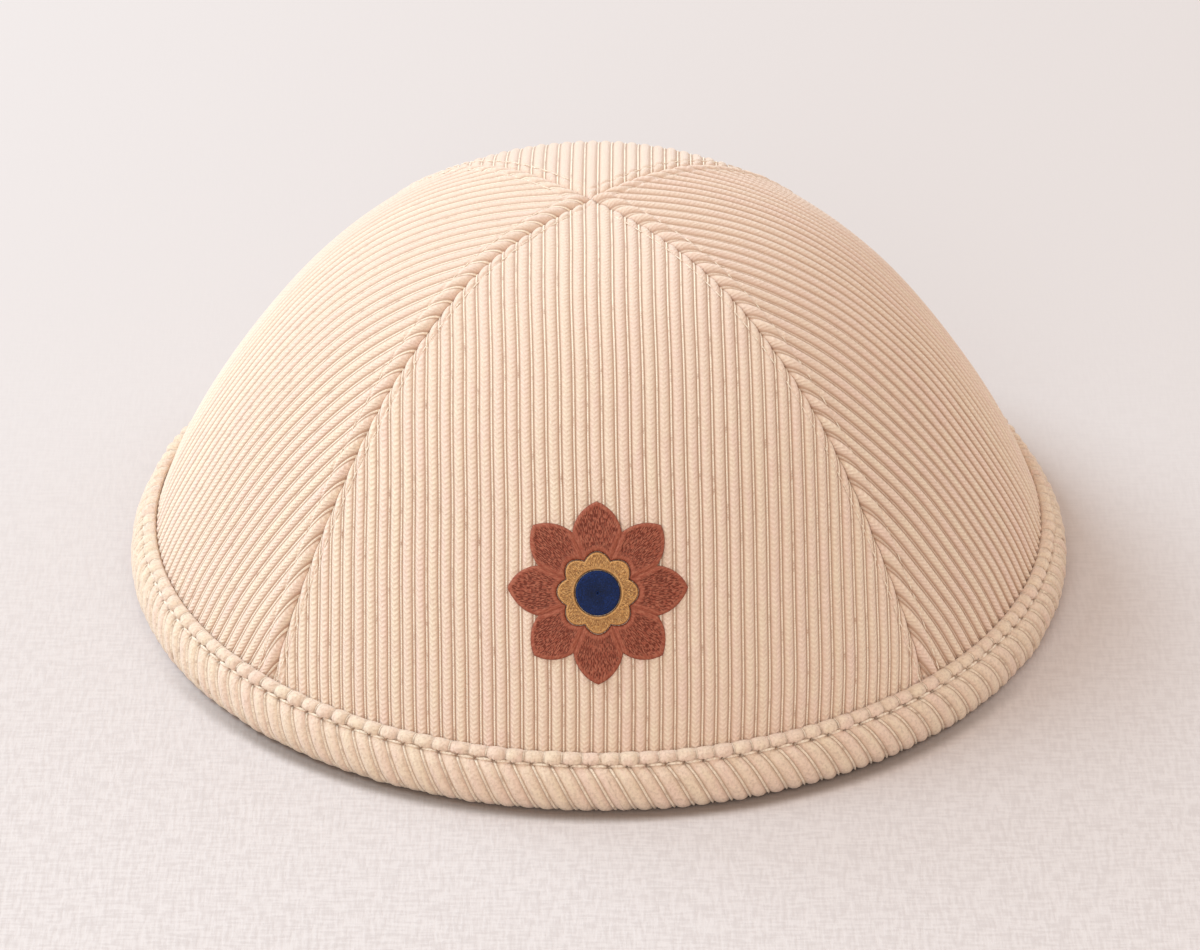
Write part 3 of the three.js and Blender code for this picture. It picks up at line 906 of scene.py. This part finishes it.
# embroidery: short stitches with dark gaps inside, and a smooth satin border
threadWear = {
    "wide": 330, "wideShare": 0.2, "pitFade": (0.6, 0.72), "pitShare": 0.85,
    "satin": (5.0, 0.8, 1), "satinFade": (0.4, 0.62),
    "grain": 3000, "grainFade": (0.45, 0.65), "grainShare": 0.3,
    "borderFade": (0.75, 1.25), "rimFade": (0.0, 0.3),
    "pitHeight": -0.12, "satinHeight": 0.05, "grainHeight": 0.04, "bump": 1 * mm,
    "roughness": 0.7, "specular": 0.15, "sheen": 0.03,
}
# a patch of thread puffs up from its hem, with a border a little above its filling
patch = {
    "hem": 0.1 * mm, "back": -0.35 * mm, "backRows": 8, "backSteps": 5,
    "sink": 0.07 * mm, "sinkWidth": 1.6, "petalGap": 0.1 * mm, "turnPlaces": 9,
}
petalLook = {
    "thread": (0.30, 0.073, 0.040, 1), "deep": (0.13, 0.022, 0.010, 1), "bright": (0.39, 0.122, 0.070, 1),
    "flecks": (8.0, 1.5, 1), "border": 0.9, "outline": 0.3,
    "around": 480, "rows": 40, "height": 0.42 * mm, "puff": 0.7 * mm,
}
ringLook = {
    "thread": (0.56, 0.27, 0.085, 1), "deep": (0.27, 0.10, 0.035, 1), "bright": (0.66, 0.36, 0.14, 1),
    "flecks": (8.0, 2.0, 1), "border": 0.4, "outline": 0.55,
    "around": 256, "rows": 22, "height": 0.5 * mm, "puff": 0.45 * mm,
}
discLook = {
    "thread": (0.007, 0.020, 0.090, 1), "deep": (0.003, 0.008, 0.035, 1), "bright": (0.012, 0.034, 0.15, 1),
    "flecks": (7.0, 3.2, 1), "border": 0.3, "outline": 0.5,
    "around": 160, "rows": 22, "height": 0.6 * mm, "puff": 0.5 * mm,
}


def makeThreadMaterial(name, look):
    material, tree, shader = startMaterial(name)
    place = addNode(tree, "ShaderNodeTexCoord")
    cloth, body = place.outputs["UV"], place.outputs["Object"]
    edge = readMark(tree, "edge")
    low, high = threadWear["borderFade"]
    inside = fade(tree, edge, look["border"] * low, look["border"] * high)
    flecks = noise(tree, stretchPlace(tree, cloth, look["flecks"]), 1.0, 0)
    wide = noise(tree, body, threadWear["wide"], 2)
    dark = calc(tree, "MULTIPLY_ADD", wide, threadWear["wideShare"], flecks)
    pits = times(tree, fade(tree, dark, *threadWear["pitFade"]), inside)
    satin = noise(tree, stretchPlace(tree, cloth, threadWear["satin"]), 1.0, 2)
    grain = noise(tree, body, threadWear["grain"], 2)
    thread = blendColour(tree, fade(tree, satin, *threadWear["satinFade"]), look["thread"], look["bright"])
    grainShare = times(tree, fade(tree, grain, *threadWear["grainFade"]), threadWear["grainShare"])
    worn = blendColour(tree, grainShare, thread, look["deep"])
    pitted = blendColour(tree, times(tree, pits, threadWear["pitShare"]), worn, look["deep"])
    rim = times(tree, invert(tree, fade(tree, edge, *threadWear["rimFade"])), look["outline"])
    feed(tree, shader.inputs["Base Color"], blendColour(tree, rim, pitted, look["deep"]))
    pitDepth = times(tree, pits, threadWear["pitHeight"])
    height = calc(tree, "MULTIPLY_ADD", satin, threadWear["satinHeight"], pitDepth)
    height = calc(tree, "MULTIPLY_ADD", grain, threadWear["grainHeight"], height)
    addBump(tree, shader, threadWear["bump"], height)
    shader.inputs["Roughness"].default_value = threadWear["roughness"]
    shader.inputs["Specular IOR Level"].default_value = threadWear["specular"]
    shader.inputs["Sheen Weight"].default_value = threadWear["sheen"]
    return material


# a raised patch of thread on the front panel, between two outlines
def makePatch(name, slot, look, innerReach, outerReach):
    rows = look["rows"]
    turn = np.linspace(0, 2 * math.pi, look["around"] + 1)
    at, angle = np.meshgrid(np.append(np.arange(rows + patch["backRows"]), 0), turn, indexing="ij")
    low, high = innerReach(angle), outerReach(angle)
    # the section runs from the outer edge over the top to the inner edge, then back underneath
    topShare = 1 - np.clip(at / (rows - 1), 0, 1)
    backShare = np.clip((at - rows - 1) / patch["backSteps"], 0, 1)
    reach = low + (high - low) * np.where(at < rows, topShare, backShare)
    edge = np.minimum(high - reach, reach - low)
    if slot == "petal_thread":
        side = reach * np.sin(math.pi / rosette["petals"] - offPetal(angle)) + patch["petalGap"]
        edge = np.minimum(edge, side)
    puff = np.sqrt(np.clip(1 - (1 - np.clip(edge / look["puff"], 0, 1)) ** 2, 0, 1))
    sunk = softStep(edge, look["border"] * mm, look["border"] * patch["sinkWidth"] * mm) * patch["sink"]
    top = (look["height"] + patch["hem"]) * puff - patch["hem"] - sunk
    lift = np.where(at < rows, top, patch["back"])
    up = rosette["rise"] + reach * np.sin(angle)
    points = crownPoint(waleAngle(reach * np.cos(angle), up), up, lift)
    places = np.stack([angle * patch["turnPlaces"], reach / mm], -1)
    piece = bendGrid(name, points, places, {"edge": edge / mm})
    finishPiece(piece, name, makeThreadMaterial(slot.replace("_", " "), look))
    print("patch", name, len(piece.data.polygons), "faces")


def discReach(angle):
    return np.full_like(angle, rosette["disc"])


def centreReach(angle):
    return np.full_like(angle, rosette["eye"])


def besideRing(angle):
    return ringReach(angle) + rosette["gap"]


def besideDisc(angle):
    return discReach(angle) + rosette["gap"]


makePatch("embroidery_petals", "petal_thread", petalLook, besideRing, petalReach)
makePatch("embroidery_ring", "ring_thread", ringLook, besideDisc, ringReach)
makePatch("embroidery_centre", "centre_thread", discLook, centreReach, discReach)

# floor: pale cloth, woven near the camera and calm further back, where painted shade makes it a little darker
floorLook = {
    "size": 6, "centre": (0, 1, 0),
    "base": (0.69, 0.60, 0.565, 1), "deep": (0.56, 0.475, 0.445, 1), "back": (0.605, 0.525, 0.495, 1),
    "weave": 1350, "warp": (1, 0.18, 1), "weft": (0.18, 1, 1), "weaveFade": (0.4, 0.62), "weaveShare": 0.55,
    "backFade": (-0.14, 0.12), "backBump": 0.1, "bump": 0.25 * mm,
    # painted contact shadow round the front of the rim
    "contactShadow": (0.20, 0.15, 0.12, 1), "contactShadowShare": 0.8, "contactShadowFade": (0.0858, 0.0886),
    "sideFade": (-0.075, -0.03),
    "roughness": 0.95, "specular": 0.1,
}


def makeFloor():
    clearSelection()
    bpy.ops.mesh.primitive_grid_add(x_subdivisions=4, y_subdivisions=4, size=floorLook["size"],
                                    location=floorLook["centre"])
    floor = bpy.context.object
    floor.name = "floor_cloth"
    bpy.ops.object.transform_apply(location=True, rotation=True, scale=True)
    material, tree, shader = startMaterial("pale linen")
    body = addNode(tree, "ShaderNodeTexCoord").outputs["Object"]
    warp = noise(tree, stretchPlace(tree, body, floorLook["warp"]), floorLook["weave"], 2)
    weft = noise(tree, stretchPlace(tree, body, floorLook["weft"]), floorLook["weave"], 2)
    weave = times(tree, calc(tree, "ADD", warp, weft), 0.5)
    depth = splitPlace(tree, body)[1]
    near = invert(tree, fade(tree, depth, *floorLook["backFade"]))
    threads = fade(tree, weave, *floorLook["weaveFade"])
    woven = blendColour(tree, threads, floorLook["base"], floorLook["deep"])
    calm = blendColour(tree, 0.5, floorLook["base"], floorLook["deep"])
    front = blendColour(tree, floorLook["weaveShare"], calm, woven)
    # painted shade: the back of the floor is a little darker than the front
    cloth = blendColour(tree, near, floorLook["back"], front)
    # painted contact shadow: the floor colour is darkened round the front of the rim
    flat = addNode(tree, "ShaderNodeVectorMath", operation="MULTIPLY")
    feed(tree, flat.inputs[0], body)
    flat.inputs[1].default_value = (1, 1, 0)
    apart = addNode(tree, "ShaderNodeVectorMath", operation="LENGTH")
    feed(tree, apart.inputs[0], flat.outputs[0])
    under = invert(tree, fade(tree, apart.outputs["Value"], *floorLook["contactShadowFade"]))
    ahead = invert(tree, fade(tree, depth, *floorLook["sideFade"]))
    contactShadow = times(tree, times(tree, under, ahead), floorLook["contactShadowShare"])
    feed(tree, shader.inputs["Base Color"], blendColour(tree, contactShadow, cloth, floorLook["contactShadow"]))
    relief = calc(tree, "MULTIPLY_ADD", near, 1 - floorLook["backBump"], floorLook["backBump"])
    addBump(tree, shader, floorLook["bump"], times(tree, weave, relief))
    shader.inputs["Roughness"].default_value = floorLook["roughness"]
    shader.inputs["Specular IOR Level"].default_value = floorLook["specular"]
    floor.data.materials.append(material)
    print("floor laid")


makeFloor()

# camera, its lens in pixels of a picture of the given width
view = {
    "distance": 1.02,
    "elevation": 30.75,
    "target": 0.016575,
    "picture": 1200,
    "focal": 5612,
    "middle": 598.5,          # where the cap's axis falls across the picture
    "sensor": 36,
}


def addCamera():
    data = bpy.data.cameras.new("camera")
    camera = bpy.data.objects.new("camera", data)
    bpy.context.scene.collection.objects.link(camera)
    tilt = math.radians(view["elevation"])
    back = view["distance"] * math.cos(tilt)
    camera.location = (0, -back, view["target"] + view["distance"] * math.sin(tilt))
    camera.rotation_euler = (math.pi / 2 - tilt, 0, 0)
    data.sensor_fit = "HORIZONTAL"
    data.sensor_width = view["sensor"]
    data.lens = view["focal"] / view["picture"] * view["sensor"]
    data.shift_x = (view["picture"] / 2 - view["middle"]) / view["picture"]
    data.clip_start = 0.01
    data.clip_end = 20
    bpy.context.scene.camera = camera


# soft studio light, cool from the left against a warm room
studio = {
    "aim": (0, 0, 0.03), "size": 0.7,
    "room": (0.92, 0.82, 0.73, 1), "roomStrength": 0.95,
}
lamps = (
    {"name": "window", "place": (-1.1, 0.26, 1.17), "power": 17, "colour": (0.62, 0.84, 1.0)},
    {"name": "rear", "place": (-1.0, 0.95, 0.85), "power": 11, "colour": (0.62, 0.84, 1.0)},
    {"name": "front", "place": (-0.35, -1.35, 0.75), "power": 6.6, "colour": (0.62, 0.76, 0.86)},
    {"name": "side", "place": (1.15, 0.5, 0.75), "power": 2.4, "colour": (0.5, 0.78, 1.0)},
)


def addLamp(lamp):
    data = bpy.data.lights.new(lamp["name"], "AREA")
    data.shape = "DISK"
    data.size = studio["size"]
    data.energy = lamp["power"]
    data.color = lamp["colour"]
    light = bpy.data.objects.new(lamp["name"], data)
    bpy.context.scene.collection.objects.link(light)
    light.location = lamp["place"]
    towards = Vector(studio["aim"]) - Vector(lamp["place"])
    light.rotation_euler = towards.to_track_quat("-Z", "Y").to_euler()


def addRoom():
    world = bpy.data.worlds.new("studio")
    bpy.context.scene.world = world
    world.use_nodes = True
    background = world.node_tree.nodes["Background"]
    background.inputs["Color"].default_value = studio["room"]
    background.inputs["Strength"].default_value = studio["roomStrength"]


addCamera()
for lamp in lamps:
    addLamp(lamp)
addRoom()
bpy.context.scene.view_settings.view_transform = "Standard"
print("camera and light", len(lamps), "lamps")
